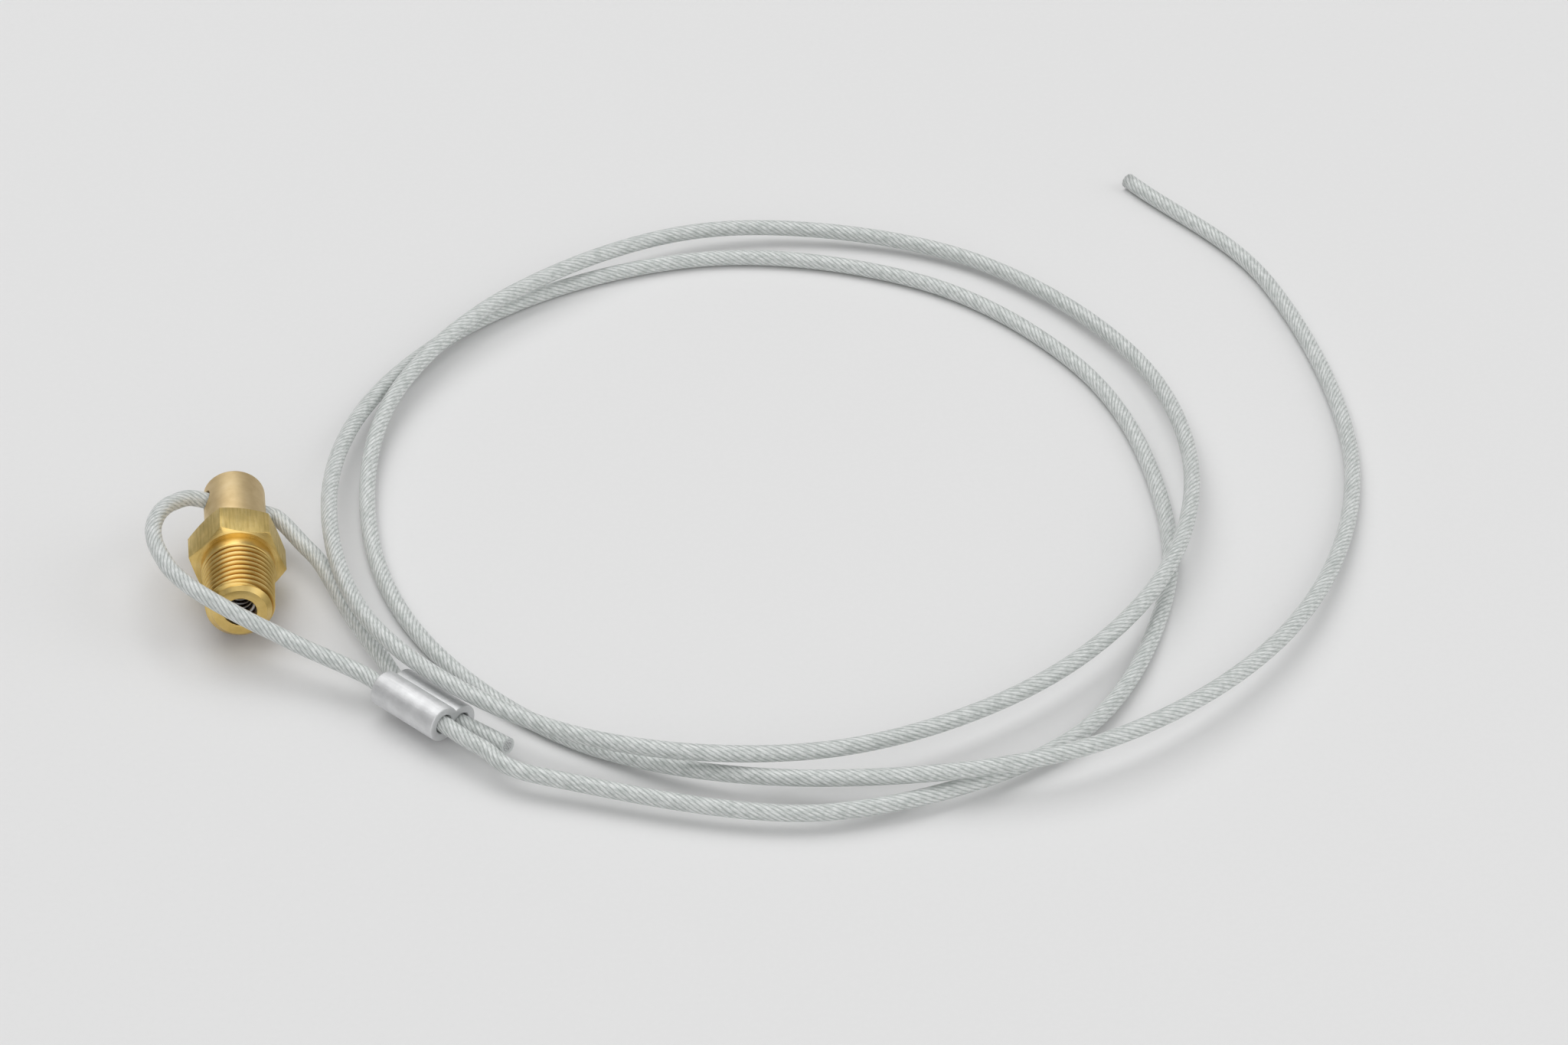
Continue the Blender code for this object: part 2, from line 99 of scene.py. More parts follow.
def ramp(tree, factor, steps):
    """Colour that runs through the given steps as the factor grows."""
    node = tree.nodes.new("ShaderNodeValToRGB")
    tree.links.new(factor, node.inputs["Fac"])
    marks = node.color_ramp.elements
    while len(marks) < len(steps):
        marks.new(0.5)
    for mark, (place, colour) in zip(marks, steps):
        mark.position = place
        mark.color = (*colour, 1.0)
    return node.outputs["Color"]


def greys(tree, factor, low, high):
    """Grey between a low and a high value, for a colour or a roughness."""
    return ramp(tree, factor, [(0.3, (low, low, low)), (0.7, (high, high, high))])


def object_place(tree):
    """Where a point of the surface lies on its piece, in metres."""
    return tree.nodes.new("ShaderNodeTexCoord").outputs["Object"]


def object_from(bm, name):
    """New object in the scene with the mesh that has been drawn."""
    mesh = bpy.data.meshes.new(name)
    bm.to_mesh(mesh)
    bm.free()
    return in_scene(name, mesh)


pale_card, card_tree, card_shader = start_material("pale_card")
card_grain = noise(card_tree, object_place(card_tree), 900.0, 4.0)
card_tree.links.new(greys(card_tree, card_grain, 0.795, 0.805), card_shader.inputs["Base Color"])
card_shader.inputs["Roughness"].default_value = 0.9
card_shader.inputs["Specular IOR Level"].default_value = 0.1

table_bm = bmesh.new()
bmesh.ops.create_grid(table_bm, x_segments=1, y_segments=1, size=TABLE_HALF)
table = object_from(table_bm, "table")
table.data.materials.append(pale_card)
table.location.z = TABLE_HEIGHT

room = bpy.data.worlds.new("room")
room.use_nodes = True
room_tree = room.node_tree
room_light = room_tree.nodes["Background"]
room_sky = room_tree.nodes.new("ShaderNodeTexCoord")
room_split = room_tree.nodes.new("ShaderNodeSeparateXYZ")
room_tree.links.new(room_sky.outputs["Generated"], room_split.inputs["Vector"])
room_colour = ramp(
    room_tree, room_split.outputs["Z"],
    [
        (0.0, (0.62, 0.62, 0.62)), (0.25, (0.30, 0.30, 0.30)), (0.55, (0.40, 0.40, 0.40)),
        (1.0, (0.80, 0.80, 0.80)),
    ],
)
room_tree.links.new(room_colour, room_light.inputs["Color"])
room_light.inputs["Strength"].default_value = 0.76
scene.world = room


def soft_lamp(name, place, size, watts):
    """Square soft lamp at a place, pointed at the middle of the coil."""
    lamp_data = bpy.data.lights.new(name, "AREA")
    lamp_data.shape = "SQUARE"
    lamp_data.size = size
    lamp_data.energy = watts
    lamp = in_scene(name, lamp_data)
    lamp.location = place
    lamp.rotation_euler = (LAMP_AIM - lamp.location).to_track_quat("-Z", "Y").to_euler()


soft_lamp("overhead_lamp", (-0.35, 0.75, 1.7), 1.9, 18.0)
soft_lamp("side_lamp", (1.5, -0.4, 0.9), 1.4, 6.5)
soft_lamp("front_lamp", (0.0, -1.7, 1.0), 1.4, 9.0)

# The pull rope is thin steel wires laid up right-handed and coated with clear vinyl to an eighth of an
# inch. It runs through the post's cross hole, both legs of that eye go into a sleeve, and the long leg
# lies on the table in a loose coil of two and a half turns, cut off square at its end.
ROPE_RADIUS = 0.0016
ROPE_SIDES = 24
ROPE_STRANDS = 11
ROPE_LAY = 0.0160
ROPE_WIRES = 22
WIRE_LAY = 0.0340
ROPE_GAP = 0.0003
WIRE_RADIUS = 0.00021
WIRE_SIDES = 10
WIRE_LAYERS = [(0, 1), (1, 6), (2, 12)]
WIRE_LAYER_TURN = 0.3
WIRE_END_ROOT = -0.0003
WIRE_END_REACH = 0.00010
WIRE_END_SPREAD = 0.00009
WIRE_END_SCATTER = 7.3
WIRE_END_EDGE = 0.00006
WIRE_END_SHARE = 0.7
GLINTS_PER_METRE = 700.0
GLINT_STEP_PER_WIRE = 3.7
BUNDLE_RADIUS = 5.2 * WIRE_RADIUS
BUNDLE_INSET = 0.0001
HOLE_STEP = 0.0035
HOLE_RUN = 0.0071
LEG_POINTS_PER_SPAN = 4
COIL_POINTS_PER_SPAN = 16
POST_RADIUS = 0.0060
CROSS_HOLE_MIDDLE = Vector((0.0, 0.0152, 0.00911))
CROSS_HOLE_TILT = math.radians(20)
SLEEVE_LENGTH = 0.0164
SLEEVE_BORE_RADIUS = 0.0019
SLEEVE_BARREL_RADIUS = 0.0035
SLEEVE_SPACING = 0.0047
SLEEVE_PLACE = (0.0328, -0.0456)
SLEEVE_HEADING = math.radians(-50)
SLEEVE_ROLL = math.radians(24)
SLEEVE_RUN_OUT = 0.0100
STUB_LENGTH = 0.0125
STUB_LIFT = 0.0012
FRONT_LEG_ROUTE = [
    (-0.0090, 0.0149, 0.0122), (-0.0112, 0.0132, 0.0128), (-0.0133, 0.0103, 0.0137),
    (-0.0149, 0.0065, 0.0143), (-0.0157, 0.0019, 0.0147), (-0.0154, -0.0027, 0.0148),
    (-0.0143, -0.0071, 0.0148), (-0.0126, -0.0116, 0.0146), (-0.0099, -0.0159, 0.0144),
    (-0.0068, -0.0195, 0.0141), (-0.0028, -0.0224, 0.0129), (0.0016, -0.0246, 0.0111),
    (0.0062, -0.0269, 0.0095), (0.0108, -0.0297, 0.0082), (0.0155, -0.0325, 0.0072),
    (0.0199, -0.0353, 0.0064), (0.0230, -0.0375, 0.0058),
]
BACK_LEG_ROUTE = [
    (0.0081, 0.0146, 0.0062), (0.0096, 0.0125, 0.0058), (0.0111, 0.0098, 0.0055),
    (0.0128, 0.0066, 0.0052), (0.0150, 0.0027, 0.0049), (0.0162, -0.0002, 0.0047),
    (0.0177, -0.0049, 0.0045), (0.0193, -0.0105, 0.0043), (0.0208, -0.0154, 0.0041),
    (0.0224, -0.0199, 0.0040), (0.0243, -0.0250, 0.0039), (0.0262, -0.0297, 0.0038),
]
COIL_MIDDLE = (0.1040, 0.0160)
COIL_FIRST_ANGLE = math.radians(-120)
COIL_STATION_STEP = math.radians(30)
COIL_STATIONS = [
    (0.0990, 0.0043), (0.1005, 0.0034), (0.0960, 0.0024), (0.0840, 0.0016), (0.0776, 0.0016),
    (0.0794, 0.0016), (0.0845, 0.0016), (0.0878, 0.0016), (0.0870, 0.0016), (0.0855, 0.0038),
    (0.0857, 0.0076), (0.0900, 0.0093), (0.0904, 0.0086), (0.0877, 0.0077), (0.0835, 0.0068),
    (0.0830, 0.0068), (0.0849, 0.0054), (0.0902, 0.0030), (0.0963, 0.0024), (0.0953, 0.0040),
    (0.0857, 0.0060), (0.0816, 0.0046), (0.0781, 0.0020), (0.0795, 0.0016), (0.0845, 0.0016),
    (0.0932, 0.0056), (0.1046, 0.0072), (0.1105, 0.0046), (0.1178, 0.0018), (0.1306, 0.0016),
]
COIL_END_ANGLE = math.radians(770)
COIL_END_RADIUS = 0.1410


def smooth_route(route, per_span):
    """Points read from a smooth curve through the route's own points."""
    knots = [Vector(point) for point in route]
    first = 2 * knots[0] - knots[1]
    last = 2 * knots[-1] - knots[-2]
    knots = [first, *knots, last]
    points = []
    for a, b, c, d in zip(knots, knots[1:], knots[2:], knots[3:]):
        for step in range(per_span):
            t = step / per_span
            swing = (c - a) * t + (2 * a - 5 * b + 4 * c - d) * t**2 + (3 * b - a - 3 * c + d) * t**3
            points.append(b + swing / 2)
    points.append(knots[-2])
    return points


def sleeve_point(along, side):
    """Point on a barrel's centreline; side is 1 for the barrel by the coil and -1 for the other."""
    ahead = Vector((math.cos(SLEEVE_HEADING), math.sin(SLEEVE_HEADING), 0.0))
    level = Vector((-ahead.y, ahead.x, 0.0))
    across = level * math.cos(SLEEVE_ROLL) - Vector((0.0, 0.0, math.sin(SLEEVE_ROLL)))
    height = SLEEVE_BARREL_RADIUS + SLEEVE_SPACING / 2 * math.sin(SLEEVE_ROLL)
    middle = Vector((*SLEEVE_PLACE, height))
    return middle + ahead * along + across * (side * SLEEVE_SPACING / 2)


def cross_hole_point(reach):
    """Point on the cross hole's line; a negative reach is on its upper side."""
    return CROSS_HOLE_MIDDLE + reach * Vector((math.cos(CROSS_HOLE_TILT), 0.0, -math.sin(CROSS_HOLE_TILT)))


def spokes(side, up, count):
    """Directions set evenly round a line, in the plane of two directions across it."""
    directions = []
    for number in range(count):
        angle = math.tau * number / count
        directions.append(side * math.cos(angle) + up * math.sin(angle))
    return directions


def tube_rings(bm, points, radius, sides):
    """Rings of corners round a line, each with its length along it, and the last ring's directions."""
    side = (points[1] - points[0]).orthogonal().normalized()
    rings = []
    length = 0.0
    for number, point in enumerate(points):
        before = points[max(number - 1, 0)]
        after = points[min(number + 1, len(points) - 1)]
        ahead = (after - before).normalized()
        side = (side - ahead * side.dot(ahead)).normalized()
        up = ahead.cross(side)
        length += (point - before).length
        rings.append((length, [bm.verts.new(point + spoke * radius) for spoke in spokes(side, up, sides)]))
    return rings, (side, up, ahead)


def skin(bm, low, high, slot, smooth):
    """Faces between two rings of corners."""
    faces = []
    for number, corner in enumerate(low):
        onward = (number + 1) % len(low)
        face = bm.faces.new((corner, low[onward], high[onward], high[number]))
        face.material_index = slot
        face.smooth = smooth
        faces.append(face)
    return faces


def wire_ends(bm, middle, side, up, ahead):
    """The cut ends of the rope's wires, one in the middle, six round it and twelve round those."""
    number = 0
    for layer, count in WIRE_LAYERS:
        for place in range(count):
            number += 1
            turn = math.tau * (place + WIRE_LAYER_TURN * layer) / count
            centre = middle + (side * math.cos(turn) + up * math.sin(turn)) * (2 * WIRE_RADIUS * layer)
            reach = WIRE_END_REACH + WIRE_END_SPREAD * math.sin(WIRE_END_SCATTER * number)
            tip = reach + WIRE_END_EDGE
            rows = []
            for share, out in ((1.0, WIRE_END_ROOT), (1.0, reach), (WIRE_END_SHARE, tip)):
                row = []
                for spoke in spokes(side, up, WIRE_SIDES):
                    row.append(bm.verts.new(centre + spoke * (WIRE_RADIUS * share) + ahead * out))
                rows.append(row)
            for low, high in zip(rows, rows[1:]):
                skin(bm, low, high, 2, True)
            bm.faces.new(rows[-1]).material_index = 2


def rope_along(name, points, materials, cut_end):
    """Round coated rope along points, mapped by length along it and by turn round it."""
    bm = bmesh.new()
    lay = bm.loops.layers.uv.new("lay")
    rings, (side, up, ahead) = tube_rings(bm, points, ROPE_RADIUS, ROPE_SIDES)
    for (start, low), (finish, high) in zip(rings, rings[1:]):
        for turn, face in enumerate(skin(bm, low, high, 0, True)):
            low_turn = turn / ROPE_SIDES
            high_turn = (turn + 1) / ROPE_SIDES
            corners = ((start, low_turn), (start, high_turn), (finish, high_turn), (finish, low_turn))
            for loop, corner in zip(face.loops, corners):
                loop[lay].uv = corner
    first = rings[0][1]
    last = rings[-1][1]
    bm.faces.new(list(reversed(first))).material_index = 1
    if cut_end:
        bundle = []
        for spoke in spokes(side, up, ROPE_SIDES):
            bundle.append(bm.verts.new(points[-1] + spoke * BUNDLE_RADIUS - ahead * BUNDLE_INSET))
        skin(bm, last, bundle, 1, False)
        bm.faces.new(bundle).material_index = 2
        wire_ends(bm, points[-1], side, up, ahead)
    else:
        bm.faces.new(last).material_index = 1
    rope = object_from(bm, name)
    for finish in materials:
        rope.data.materials.append(finish)
    return rope


def set_socket(tree, socket, value):
    """Links a socket, or sets a number or colour."""
    if isinstance(value, bpy.types.NodeSocket):
        tree.links.new(value, socket)
    else:
        socket.default_value = value


def reckon(tree, operation, *values):
    """One step of arithmetic on sockets and numbers."""
    node = tree.nodes.new("ShaderNodeMath")
    node.operation = operation
    for socket, value in zip(node.inputs, values):
        set_socket(tree, socket, value)
    return node.outputs[0]


def bump(tree, height, distance, strength=1.0):
    """Surface relief from a height between 0 and 1."""
    node = tree.nodes.new("ShaderNodeBump")
    node.inputs["Distance"].default_value = distance
    node.inputs["Strength"].default_value = strength
    tree.links.new(height, node.inputs["Height"])
    return node.outputs["Normal"]


def blend_colours(tree, kind, factor, first, second):
    """Two colours mixed or multiplied."""
    node = tree.nodes.new("ShaderNodeMix")
    node.data_type = "RGBA"
    node.blend_type = kind
    set_socket(tree, node.inputs["Factor"], factor)
    set_socket(tree, node.inputs["A"], first)
    set_socket(tree, node.inputs["B"], second)
    return node.outputs["Result"]


coated_wires, rope_tree, rope_shader = start_material("coated_wires")
lay_map = rope_tree.nodes.new("ShaderNodeUVMap")
lay_map.uv_map = "lay"
lay_split = rope_tree.nodes.new("ShaderNodeSeparateXYZ")
rope_tree.links.new(lay_map.outputs["UV"], lay_split.inputs["Vector"])
along_rope = lay_split.outputs["X"]
round_rope = lay_split.outputs["Y"]


def lay_count(lay, count):
    """Number of the strand or wire at a point, growing round the rope and running on along its lay."""
    turned = reckon(rope_tree, "SUBTRACT", round_rope, reckon(rope_tree, "DIVIDE", along_rope, lay))
    return reckon(rope_tree, "MULTIPLY", turned, count)


def from_middle(counted):
    """How far a point lies from the middle of its strand or wire, from 0 to 1 at its edge."""
    swing = reckon(rope_tree, "PINGPONG", reckon(rope_tree, "ADD", counted, 0.5), 0.5)
    return reckon(rope_tree, "MULTIPLY", swing, 2.0)


strand_edge = from_middle(lay_count(ROPE_LAY, ROPE_STRANDS))
wire_count = lay_count(WIRE_LAY, ROPE_WIRES)
wire_edge = from_middle(wire_count)
# Painted shade: the rope's own grey-green in the middle of each strand darkens toward the strand's edges,
# standing in for the shade in the grooves between strands.
strand_tone_and_groove_shade = ramp(
    rope_tree, strand_edge,
    [
        (0.0, (0.81, 0.83, 0.82)), (0.50, (0.74, 0.76, 0.75)), (0.80, (0.62, 0.64, 0.63)),
        (1.0, (0.47, 0.49, 0.48)),
    ],
)
# Painted shade: each wire's colour darkens toward its edges, standing in for the shade in the gaps between
# wires.
wire_groove_shade = ramp(rope_tree, wire_edge, [(0.45, (1.0, 1.0, 1.0)), (1.0, (0.86, 0.87, 0.86))])
glint_place = rope_tree.nodes.new("ShaderNodeCombineXYZ")
rope_tree.links.new(reckon(rope_tree, "MULTIPLY", along_rope, GLINTS_PER_METRE), glint_place.inputs["X"])
wire_number = reckon(rope_tree, "FLOOR", wire_count)
rope_tree.links.new(reckon(rope_tree, "MULTIPLY", wire_number, GLINT_STEP_PER_WIRE), glint_place.inputs["Y"])
wire_glint = noise(rope_tree, glint_place.outputs["Vector"], 1.0, 2.0)
glint_colour = ramp(rope_tree, wire_glint, [(0.38, (0.76, 0.78, 0.77)), (0.60, (1.0, 1.0, 1.0))])
laid_colour_and_groove_shade = blend_colours(rope_tree, "MULTIPLY", 1.0, strand_tone_and_groove_shade, wire_groove_shade)
rope_colour = blend_colours(rope_tree, "MULTIPLY", 1.0, laid_colour_and_groove_shade, glint_colour)
rope_relief = reckon(rope_tree, "SUBTRACT", 1.0, reckon(rope_tree, "MULTIPLY", strand_edge, strand_edge))
rope_relief = reckon(rope_tree, "MULTIPLY_ADD", wire_edge, -0.25, rope_relief)
rope_tree.links.new(rope_colour, rope_shader.inputs["Base Color"])
rope_tree.links.new(bump(rope_tree, rope_relief, 0.00018, 0.5), rope_shader.inputs["Normal"])
rope_shader.inputs["Subsurface Weight"].default_value = 0.4
rope_shader.inputs["Subsurface Radius"].default_value = (1.0, 1.0, 1.0)
rope_shader.inputs["Subsurface Scale"].default_value = ROPE_RADIUS
rope_shader.inputs["Roughness"].default_value = 0.5
rope_shader.inputs["Coat Weight"].default_value = 0.5
rope_shader.inputs["Coat Roughness"].default_value = 0.22
rope_shader.inputs["Coat IOR"].default_value = 1.5

cut_vinyl, vinyl_tree, vinyl_shader = start_material("cut_vinyl")
vinyl_grain = noise(vinyl_tree, object_place(vinyl_tree), 5000.0, 3.0)
vinyl_colour = ramp(vinyl_tree, vinyl_grain, [(0.3, (0.62, 0.65, 0.64)), (0.7, (0.74, 0.76, 0.75))])
vinyl_tree.links.new(vinyl_colour, vinyl_shader.inputs["Base Color"])
vinyl_tree.links.new(bump(vinyl_tree, vinyl_grain, 0.00003), vinyl_shader.inputs["Normal"])
vinyl_shader.inputs["Roughness"].default_value = 0.45

cut_steel, steel_tree, steel_shader = start_material("cut_steel")
steel_grain = noise(steel_tree, object_place(steel_tree), 9000.0, 3.0)
steel_colour = ramp(steel_tree, steel_grain, [(0.3, (0.52, 0.53, 0.53)), (0.7, (0.74, 0.75, 0.75))])
steel_tree.links.new(steel_colour, steel_shader.inputs["Base Color"])
steel_tree.links.new(bump(steel_tree, steel_grain, 0.00002), steel_shader.inputs["Normal"])
steel_shader.inputs["Metallic"].default_value = 0.6
steel_shader.inputs["Roughness"].default_value = 0.45
rope_finishes = (coated_wires, cut_vinyl, cut_steel)

half_sleeve = SLEEVE_LENGTH / 2
front_start = [cross_hole_point(reach) for reach in (0.0, -HOLE_STEP, -HOLE_RUN)]
front_end = [sleeve_point(-half_sleeve, -1), sleeve_point(-ROPE_GAP / 2, -1)]
front_leg_line = smooth_route([*front_start, *FRONT_LEG_ROUTE, *front_end], LEG_POINTS_PER_SPAN)
front_leg = rope_along("rope_front_leg", front_leg_line, rope_finishes, False)
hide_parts("cable_front_leg", "cable_through_post")
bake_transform(front_leg)

back_start = [cross_hole_point(reach) for reach in (ROPE_GAP / 2, HOLE_STEP, HOLE_RUN)]
back_end = [sleeve_point(half_sleeve * share, 1) for share in (-1.0, -0.5, 0.5, 1.0)]
for stub_share in (0.35, 0.7, 1.0):
    stub_rise = Vector((0.0, 0.0, STUB_LIFT * stub_share))
    back_end.append(sleeve_point(half_sleeve + STUB_LENGTH * stub_share, 1) + stub_rise)
back_leg_line = smooth_route([*back_start, *BACK_LEG_ROUTE, *back_end], LEG_POINTS_PER_SPAN)
back_leg = rope_along("rope_back_leg", back_leg_line, rope_finishes, True)
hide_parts("cable_back_leg", "cable_stub")
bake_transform(back_leg)

coil_route = [sleeve_point(along, -1) for along in (ROPE_GAP / 2, half_sleeve, half_sleeve + SLEEVE_RUN_OUT)]
coil_stations = [
    (COIL_FIRST_ANGLE + COIL_STATION_STEP * count, radius, height)
    for count, (radius, height) in enumerate(COIL_STATIONS)
]
coil_stations.append((COIL_END_ANGLE, COIL_END_RADIUS, ROPE_RADIUS))
for station_angle, station_radius, station_height in coil_stations:
    station_x = COIL_MIDDLE[0] + station_radius * math.cos(station_angle)
    station_y = COIL_MIDDLE[1] + station_radius * math.sin(station_angle)
    coil_route.append((station_x, station_y, station_height))
coil_line = smooth_route(coil_route, COIL_POINTS_PER_SPAN)
for coil_point in coil_line:
    coil_point.z = max(coil_point.z, ROPE_RADIUS)
coil = rope_along("rope_coil", coil_line, rope_finishes, True)
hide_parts("cable_coil")
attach(coil, "valve")

# The sleeve is a short double-barrel extrusion of soft aluminium. Both legs of the eye are pushed
# through it and it is pressed shut on them, which leaves a furrow along the middle of each side.
SLEEVE_EDGE = 0.00025
SLEEVE_STEPS = 40


def sleeve_outline(steps):
    """Two round barrels that meet in a waist."""
    half = SLEEVE_SPACING / 2
    waist_angle = math.acos(half / SLEEVE_BARREL_RADIUS)
    outline = []
    for side in (1, -1):
        for step in range(steps):
            angle = (math.pi - waist_angle) * (2 * step / steps - 1)
            across = half + SLEEVE_BARREL_RADIUS * math.cos(angle)
            outline.append((side * across, side * SLEEVE_BARREL_RADIUS * math.sin(angle)))
    return outline


def sleeve_bore(side, steps):
    """Line round the bore of one barrel."""
    outline = []
    for step in range(steps):
        angle = math.tau * step / steps
        across = side * SLEEVE_SPACING / 2 + SLEEVE_BORE_RADIUS * math.cos(angle)
        outline.append((across, SLEEVE_BORE_RADIUS * math.sin(angle)))
    return outline


def mesh_from(made):
    """The finished mesh of a piece with its modifiers or curve settings; the piece itself is removed."""
    bpy.context.view_layer.update()
    seen = made.evaluated_get(bpy.context.evaluated_depsgraph_get())
    mesh = bpy.data.meshes.new_from_object(seen)
    bpy.data.objects.remove(made, do_unlink=True)
    return mesh


sleeve_curve = bpy.data.curves.new("sleeve_section", "CURVE")
sleeve_curve.dimensions = "2D"
sleeve_curve.fill_mode = "BOTH"
sleeve_curve.extrude = half_sleeve - SLEEVE_EDGE
sleeve_curve.bevel_depth = SLEEVE_EDGE
sleeve_curve.bevel_resolution = 2
sleeve_curve.offset = -SLEEVE_EDGE
for section in (sleeve_outline(SLEEVE_STEPS), sleeve_bore(1, SLEEVE_STEPS), sleeve_bore(-1, SLEEVE_STEPS)):
    section_line = sleeve_curve.splines.new("POLY")
    section_line.points.add(len(section) - 1)
    section_line.use_cyclic_u = True
    for knot, (across, up) in zip(section_line.points, section):
        knot.co = (across, up, 0.0, 1.0)
sleeve_mesh = mesh_from(in_scene("sleeve_section", sleeve_curve))
sleeve_turn = Matrix.Rotation(SLEEVE_HEADING + math.pi / 2, 4, "Z") @ Matrix.Rotation(SLEEVE_ROLL, 4, "Y")
sleeve_turn = sleeve_turn @ Matrix.Rotation(math.pi / 2, 4, "X")
sleeve_bm = bmesh.new()
sleeve_bm.from_mesh(sleeve_mesh)
bmesh.ops.remove_doubles(sleeve_bm, verts=sleeve_bm.verts, dist=1e-6)
sleeve_bm.to_mesh(sleeve_mesh)
sleeve_bm.free()
sleeve_mesh.transform(Matrix.Translation(sleeve_point(0.0, 0.0)) @ sleeve_turn)
sleeve_mesh.shade_smooth()
sleeve_mesh.set_sharp_from_angle(angle=math.radians(35))

pressed_aluminium, sleeve_tree, sleeve_shader = start_material("pressed_aluminium")
sleeve_spot = sleeve_tree.nodes.new("ShaderNodeMapping")
sleeve_spot.vector_type = "TEXTURE"
sleeve_spot.inputs["Rotation"].default_value = (0.0, 0.0, SLEEVE_HEADING)
sleeve_spot.inputs["Scale"].default_value = (12.0, 1.0, 1.0)
sleeve_tree.links.new(object_place(sleeve_tree), sleeve_spot.inputs["Vector"])
draw_lines = noise(sleeve_tree, sleeve_spot.outputs["Vector"], 3500.0, 4.0)
press_cloud = noise(sleeve_tree, object_place(sleeve_tree), 420.0, 3.0)
sleeve_colour = ramp(sleeve_tree, press_cloud, [(0.3, (0.70, 0.705, 0.71)), (0.7, (0.80, 0.805, 0.81))])
sleeve_tree.links.new(sleeve_colour, sleeve_shader.inputs["Base Color"])
sleeve_tree.links.new(greys(sleeve_tree, draw_lines, 0.52, 0.66), sleeve_shader.inputs["Roughness"])
sleeve_relief = reckon(sleeve_tree, "ADD", reckon(sleeve_tree, "MULTIPLY", draw_lines, 0.4), press_cloud)
sleeve_tree.links.new(bump(sleeve_tree, sleeve_relief, 0.00012, 0.6), sleeve_shader.inputs["Normal"])
sleeve_shader.inputs["Metallic"].default_value = 1.0
sleeve_mesh.materials.clear()
sleeve_mesh.materials.append(pressed_aluminium)
sleeve = in_scene("sleeve", sleeve_mesh)
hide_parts("crimp_sleeve")
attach(sleeve, "valve")

# The valve body is cut from hexagon brass bar: a quarter-inch taper pipe thread with a turned nose, a
# plain collar behind it, the spanner hexagon with both ends chamfered, and a bore with its seat inside.
AXIS_HEIGHT = 0.00911
MOUTH_Y = -0.0192
THREAD_PITCH = 0.001411
THREAD_LENGTH = 0.0134
THREAD_CREST_RADIUS = 0.0066
THREAD_DEPTH = 0.0010
THREAD_TAPER = 1 / 32
THREAD_CREST_SHARE = 0.06
THREAD_FLANK_SHARE = 0.38
MOUTH_EDGE = 0.0003
NOSE_RADIUS = 0.0051
NOSE_CHAMFER_SLOPE = 1.05
COLLAR_RADIUS = 0.0071
COLLAR_LENGTH = 0.0025
COLLAR_EDGE = 0.00035
COLLAR_INNER_RADIUS = 0.0060
COLLAR_OVERLAP = 0.0002
HEX_FRONT = 0.0148
HEX_BACK = 0.0227
HEX_ACROSS_FLATS = 0.0165
HEX_ROLL = math.radians(17)
HEX_FACE_RADIUS = 0.0080
HEX_CHAMFER_SLOPE = 0.58
HEX_EDGE = 0.00010
BORE_RADIUS = 0.0031
THROAT_RADIUS = 0.0023
SEAT_PLACE = 0.0170
GROOVE_RADIUS = 0.0038
GROOVE_LOW = 0.0024
GROOVE_HIGH = 0.0042
BODY_STEPS = 96
CUT_PAST = 0.001
FLAT_FACE_AREA = 2e-6
FLAT_FACE_TILT = 0.15
END_FACE_TILT = 0.9
GROOVE_SHADE_START = 0.0014
SHARP_ANGLE = math.radians(38)
VALVE_PLACE = Matrix.Translation((0.0, MOUTH_Y, AXIS_HEIGHT)) @ Matrix.Rotation(-math.pi / 2, 4, "X")


def lathe(bm, profile, steps):
    """Skin of revolution about Z; the profile runs from the top down its outer side."""
    rows = []
    for radius, height in profile:
        if radius == 0.0:
            rows.append([bm.verts.new((0.0, 0.0, height))] * steps)
            continue
        row = []
        for step in range(steps):
            angle = math.tau * step / steps
            row.append(bm.verts.new((radius * math.cos(angle), radius * math.sin(angle), height)))
        rows.append(row)
    for high, low in zip(rows, rows[1:]):
        for step in range(steps):
            onward = (step + 1) % steps
            corners = []
            for vert in (high[step], low[step], low[onward], high[onward]):
                if vert not in corners:
                    corners.append(vert)
            bm.faces.new(corners).smooth = True


def round_corner(before, corner, after, radius, steps):
    """Points that round off one corner of a profile."""
    corner = Vector(corner)
    back = (Vector(before) - corner).normalized()
    on = (Vector(after) - corner).normalized()
    start = corner + back * radius
    finish = corner + on * radius
    points = []
    for step in range(steps + 1):
        t = step / steps
        points.append(tuple(start * (1 - t) ** 2 + corner * (2 * t * (1 - t)) + finish * t**2))
    return points


def thread_radius(height, share):
    """Radius of the thread at a height, for a share of the way from one root to the next."""
    fall = min(1.0, max(0.0, (abs(share - 0.5) - THREAD_CREST_SHARE) / THREAD_FLANK_SHARE))
    threaded = THREAD_CREST_RADIUS + height * THREAD_TAPER - THREAD_DEPTH * fall
    return min(threaded, NOSE_RADIUS + height / NOSE_CHAMFER_SLOPE)


def cut_thread(bm, steps):
    """Thread skin from the nose to inside the collar, in rows that climb with the thread."""
    shares = [0.0, 0.06, 0.14, 0.22, 0.30, 0.37, 0.42, 0.46, 0.54, 0.58, 0.63, 0.70, 0.78, 0.86, 0.94]
    turns = math.ceil(THREAD_LENGTH / THREAD_PITCH) + 2
    rows = []
    for turn in range(-2, turns - 1):
        for share in shares:
            row = []
            for step in range(steps):
                angle = math.tau * step / steps
                height = max(0.0, (turn + share + step / steps) * THREAD_PITCH)
                radius = thread_radius(height, share)
                row.append(bm.verts.new((radius * math.cos(angle), radius * math.sin(angle), height)))
            rows.append(row)
    for number in range(len(rows) - 1):
        for step in range(steps):
            last = step == steps - 1
            shift = len(shares) if last else 0
            if number + 1 + shift >= len(rows):
                continue
            onward = 0 if last else step + 1
            low, high = rows[number], rows[number + 1]
            far_low, far_high = rows[number + shift], rows[number + 1 + shift]
            bm.faces.new((high[step], low[step], far_low[onward], far_high[onward])).smooth = True


